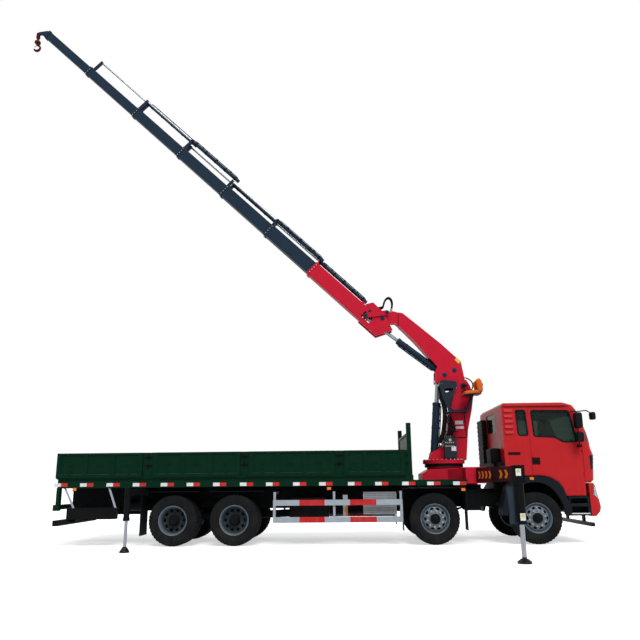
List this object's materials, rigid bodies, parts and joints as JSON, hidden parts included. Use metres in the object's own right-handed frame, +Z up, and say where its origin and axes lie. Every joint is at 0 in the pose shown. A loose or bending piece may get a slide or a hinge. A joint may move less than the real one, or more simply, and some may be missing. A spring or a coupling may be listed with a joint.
{
  "type": "mobile crane",
  "caption": "Dropside lorry with a folding, telescopic loader crane behind its cab, stabiliser legs out and boom raised to the rear.",
  "frame": {"origin": "on the ground, on the middle line, midway between the front bumper and the tip of the extended boom", "axes": "+X forward, +Y to the left, +Z up"},
  "size_m": [14.3142, 9.032, 14.0794],
  "materials": {
    "cab_red": "satin",
    "crane_red": "satin",
    "boom_grey": "satin",
    "bed_green": "satin",
    "chassis_black": "satin",
    "tyre": "matte",
    "glass": "clear",
    "guard_grey": "satin",
    "outrigger_maroon": "satin",
    "trim": "matte",
    "seat_orange": "satin",
    "hook_maroon": "matte",
    "chrome": "polished"
  },
  "bodies": {
    "lorry": {"chassis_frame": "chassis_black", "steered_axles": "chassis_black", "driven_axles": "chassis_black", "engine": "chassis_black", "tanks": "chassis_black", "side_guards": "guard_grey", "mudguards": "trim", "bed_floor": "bed_green", "headboard": "bed_green", "crane_base": "crane_red", "cab_shell": "cab_red", "cab_glass": "glass", "bumper": "cab_red", "cab_fenders": "trim", "cab_interior": "trim"},
    "wheel_1_right": {"wheel_1_right": "tyre"},
    "knuckle_1_right": {"knuckle_1_right": "chassis_black"},
    "wheel_1_left": {"wheel_1_left": "tyre"},
    "knuckle_1_left": {"knuckle_1_left": "chassis_black"},
    "wheel_2_right": {"wheel_2_right": "tyre"},
    "knuckle_2_right": {"knuckle_2_right": "chassis_black"},
    "wheel_2_left": {"wheel_2_left": "tyre"},
    "knuckle_2_left": {"knuckle_2_left": "chassis_black"},
    "wheel_3_right": {"wheel_3_right": "tyre"},
    "wheel_3_left": {"wheel_3_left": "tyre"},
    "wheel_4_right": {"wheel_4_right": "tyre"},
    "wheel_4_left": {"wheel_4_left": "tyre"},
    "door_right": {"door_right": "cab_red", "door_glass_right": "glass"},
    "dropside_right": {"dropside_right": "bed_green"},
    "door_left": {"door_left": "cab_red", "door_glass_left": "glass"},
    "dropside_left": {"dropside_left": "bed_green"},
    "tailgate": {"tailgate": "bed_green"},
    "front_beam_right": {"front_beam_right": "outrigger_maroon"},
    "front_leg_right": {"front_leg_right": "chassis_black"},
    "front_foot_right": {"front_foot_right": "chassis_black"},
    "rear_beam_right": {"rear_beam_right": "chassis_black"},
    "rear_foot_right": {"rear_foot_right": "chassis_black"},
    "front_beam_left": {"front_beam_left": "outrigger_maroon"},
    "front_leg_left": {"front_leg_left": "chassis_black"},
    "front_foot_left": {"front_foot_left": "chassis_black"},
    "rear_beam_left": {"rear_beam_left": "chassis_black"},
    "rear_foot_left": {"rear_foot_left": "chassis_black"},
    "column": {"column": "crane_red", "operator_seat": "seat_orange"},
    "lift_barrel": {"lift_barrel": "chassis_black"},
    "lift_rod": {"lift_rod": "chrome"},
    "inner_boom": {"inner_boom": "crane_red"},
    "fold_barrel": {"fold_barrel": "chassis_black"},
    "fold_rod": {"fold_rod": "chrome"},
    "knuckle_link": {"knuckle_link": "crane_red"},
    "outer_boom": {"outer_boom": "crane_red"},
    "hook": {"hook": "hook_maroon"},
    "boom_section_1": {"boom_section_1": "boom_grey"},
    "boom_section_2": {"boom_section_2": "boom_grey"},
    "boom_section_3": {"boom_section_3": "boom_grey"},
    "boom_section_4": {"boom_section_4": "boom_grey"},
    "boom_section_5": {"boom_section_5": "boom_grey"},
    "boom_section_6": {"boom_section_6": "boom_grey"}
  },
  "joints": [
    {"name": "steer_1_right", "type": "hinge", "parent": "lorry", "child": "knuckle_1_right", "pos_m": [5.7, -0.82, 0.542], "axis": [0, 0, 1], "range_deg": [-35, 35]},
    {"name": "spin_1_right", "type": "hinge", "parent": "knuckle_1_right", "child": "wheel_1_right", "pos_m": [5.7, -1.09, 0.542], "axis": [0, 1, 0], "continuous": true},
    {"name": "steer_1_left", "type": "hinge", "parent": "lorry", "child": "knuckle_1_left", "pos_m": [5.7, 0.82, 0.542], "axis": [0, 0, 1], "range_deg": [-35, 35]},
    {"name": "spin_1_left", "type": "hinge", "parent": "knuckle_1_left", "child": "wheel_1_left", "pos_m": [5.7, 1.09, 0.542], "axis": [0, 1, 0], "continuous": true},
    {"name": "steer_2_right", "type": "hinge", "parent": "lorry", "child": "knuckle_2_right", "pos_m": [3.52, -0.82, 0.542], "axis": [0, 0, 1], "range_deg": [-24.5, 24.5]},
    {"name": "spin_2_right", "type": "hinge", "parent": "knuckle_2_right", "child": "wheel_2_right", "pos_m": [3.52, -1.09, 0.542], "axis": [0, 1, 0], "continuous": true},
    {"name": "steer_2_left", "type": "hinge", "parent": "lorry", "child": "knuckle_2_left", "pos_m": [3.52, 0.82, 0.542], "axis": [0, 0, 1], "range_deg": [-24.5, 24.5]},
    {"name": "spin_2_left", "type": "hinge", "parent": "knuckle_2_left", "child": "wheel_2_left", "pos_m": [3.52, 1.09, 0.542], "axis": [0, 1, 0], "continuous": true},
    {"name": "spin_3_right", "type": "hinge", "parent": "lorry", "child": "wheel_3_right", "pos_m": [-0.845, -1.092, 0.542], "axis": [0, 1, 0], "continuous": true},
    {"name": "spin_3_left", "type": "hinge", "parent": "lorry", "child": "wheel_3_left", "pos_m": [-0.845, 1.092, 0.542], "axis": [0, 1, 0], "continuous": true},
    {"name": "spin_4_right", "type": "hinge", "parent": "lorry", "child": "wheel_4_right", "pos_m": [-2.195, -1.092, 0.542], "axis": [0, 1, 0], "continuous": true},
    {"name": "spin_4_left", "type": "hinge", "parent": "lorry", "child": "wheel_4_left", "pos_m": [-2.195, 1.092, 0.542], "axis": [0, 1, 0], "continuous": true},
    {"name": "door_right_hinge", "type": "hinge", "parent": "lorry", "child": "door_right", "pos_m": [6.803, -1.183, 2], "axis": [0, 0, 1], "range_deg": [0, 70]},
    {"name": "dropside_right_hinge", "type": "hinge", "parent": "lorry", "child": "dropside_right", "pos_m": [-0.945, -1.275, 1.46], "axis": [1, 0, 0], "range_deg": [0, 180]},
    {"name": "door_left_hinge", "type": "hinge", "parent": "lorry", "child": "door_left", "pos_m": [6.803, 1.183, 2], "axis": [0, 0, -1], "range_deg": [0, 70]},
    {"name": "dropside_left_hinge", "type": "hinge", "parent": "lorry", "child": "dropside_left", "pos_m": [-0.945, 1.275, 1.46], "axis": [-1, 0, 0], "range_deg": [0, 180]},
    {"name": "tailgate_hinge", "type": "hinge", "parent": "lorry", "child": "tailgate", "pos_m": [-4.86, 0, 1.46], "axis": [0, -1, 0], "range_deg": [0, 180]},
    {"name": "front_beam_right_slide", "type": "slide", "parent": "lorry", "child": "front_beam_right", "axis": [0, 1, 0], "range_m": [0, 1.5]},
    {"name": "front_leg_right_slide", "type": "slide", "parent": "front_beam_right", "child": "front_leg_right", "axis": [0, 1, 0], "range_m": [0, 1.6]},
    {"name": "front_foot_right_slide", "type": "slide", "parent": "front_leg_right", "child": "front_foot_right", "axis": [0, 0, 1], "range_m": [0, 0.5]},
    {"name": "rear_beam_right_slide", "type": "slide", "parent": "lorry", "child": "rear_beam_right", "axis": [0, 1, 0], "range_m": [0, 1.04]},
    {"name": "rear_foot_right_slide", "type": "slide", "parent": "rear_beam_right", "child": "rear_foot_right", "axis": [0, 0, 1], "range_m": [0, 0.38]},
    {"name": "front_beam_left_slide", "type": "slide", "parent": "lorry", "child": "front_beam_left", "axis": [0, -1, 0], "range_m": [0, 1.5]},
    {"name": "front_leg_left_slide", "type": "slide", "parent": "front_beam_left", "child": "front_leg_left", "axis": [0, -1, 0], "range_m": [0, 1.6]},
    {"name": "front_foot_left_slide", "type": "slide", "parent": "front_leg_left", "child": "front_foot_left", "axis": [0, 0, 1], "range_m": [0, 0.5]},
    {"name": "rear_beam_left_slide", "type": "slide", "parent": "lorry", "child": "rear_beam_left", "axis": [0, -1, 0], "range_m": [0, 1.04]},
    {"name": "rear_foot_left_slide", "type": "slide", "parent": "rear_beam_left", "child": "rear_foot_left", "axis": [0, 0, 1], "range_m": [0, 0.38]},
    {"name": "slew", "type": "hinge", "parent": "lorry", "child": "column", "pos_m": [3.94, 0, 1.73], "axis": [0, 0, 1], "continuous": true},
    {"name": "lift", "type": "hinge", "parent": "column", "child": "inner_boom", "pos_m": [4.475, 0, 3.575], "axis": [0, 1, 0], "range_deg": [-40, 35]},
    {"name": "lift_barrel_swing", "type": "hinge", "parent": "column", "child": "lift_barrel", "pos_m": [3.725, 0, 1.925], "axis": [0, 1, 0], "range_deg": [-1, 1]},
    {"name": "lift_rod_slide", "type": "slide", "parent": "lift_barrel", "child": "lift_rod", "axis": [0.0981, 0, 0.9952], "range_m": [-0.42, 0.37]},
    {"name": "fold", "type": "hinge", "parent": "inner_boom", "child": "outer_boom", "pos_m": [2.594, 0, 5.282], "axis": [0, -1, 0], "range_deg": [0, 60]},
    {"name": "fold_barrel_swing", "type": "hinge", "parent": "inner_boom", "child": "fold_barrel", "pos_m": [3.97, 0, 3.93], "axis": [0, -1, 0], "range_deg": [-1, 6]},
    {"name": "fold_rod_slide", "type": "slide", "parent": "fold_barrel", "child": "fold_rod", "axis": [0.7827, 0, -0.6224], "range_m": [0, 0.4]},
    {"name": "knuckle_link_swing", "type": "hinge", "parent": "inner_boom", "child": "knuckle_link", "pos_m": [2.708, 0, 5.422], "axis": [0, -1, 0], "range_deg": [-1, 47]},
    {"name": "telescope_1", "type": "slide", "parent": "outer_boom", "child": "boom_section_1", "axis": [0.7218, 0, -0.6921], "range_m": [0, 1.502]},
    {"name": "telescope_2", "type": "slide", "parent": "boom_section_1", "child": "boom_section_2", "axis": [0.7218, 0, -0.6921], "range_m": [0, 1.587]},
    {"name": "telescope_3", "type": "slide", "parent": "boom_section_2", "child": "boom_section_3", "axis": [0.7218, 0, -0.6921], "range_m": [0, 1.61]},
    {"name": "telescope_4", "type": "slide", "parent": "boom_section_3", "child": "boom_section_4", "axis": [0.7218, 0, -0.6921], "range_m": [0, 1.736]},
    {"name": "telescope_5", "type": "slide", "parent": "boom_section_4", "child": "boom_section_5", "axis": [0.7218, 0, -0.6921], "range_m": [0, 1.893]},
    {"name": "telescope_6", "type": "slide", "parent": "boom_section_5", "child": "boom_section_6", "axis": [0.7218, 0, -0.6921], "range_m": [0, 1.73]},
    {"name": "hook_swing", "type": "hinge", "parent": "boom_section_6", "child": "hook", "pos_m": [-7.045, 0, 13.9782], "axis": [0, 1, 0], "range_deg": [-35, 105]}
  ],
  "couplings": [
    {"joint": "steer_1_left", "follows": "steer_1_right", "ratio": 1},
    {"joint": "steer_2_right", "follows": "steer_1_right", "ratio": 0.7},
    {"joint": "steer_2_left", "follows": "steer_1_right", "ratio": 0.7},
    {"joint": "lift_barrel_swing", "follows": "lift", "ratio": 0.005},
    {"joint": "lift_rod_slide", "follows": "lift", "m_per_rad": 0.5462},
    {"joint": "fold_barrel_swing", "follows": "fold", "ratio": 0.078},
    {"joint": "fold_rod_slide", "follows": "fold", "m_per_rad": 0.3648},
    {"joint": "knuckle_link_swing", "follows": "fold", "ratio": 0.763}
  ]
}
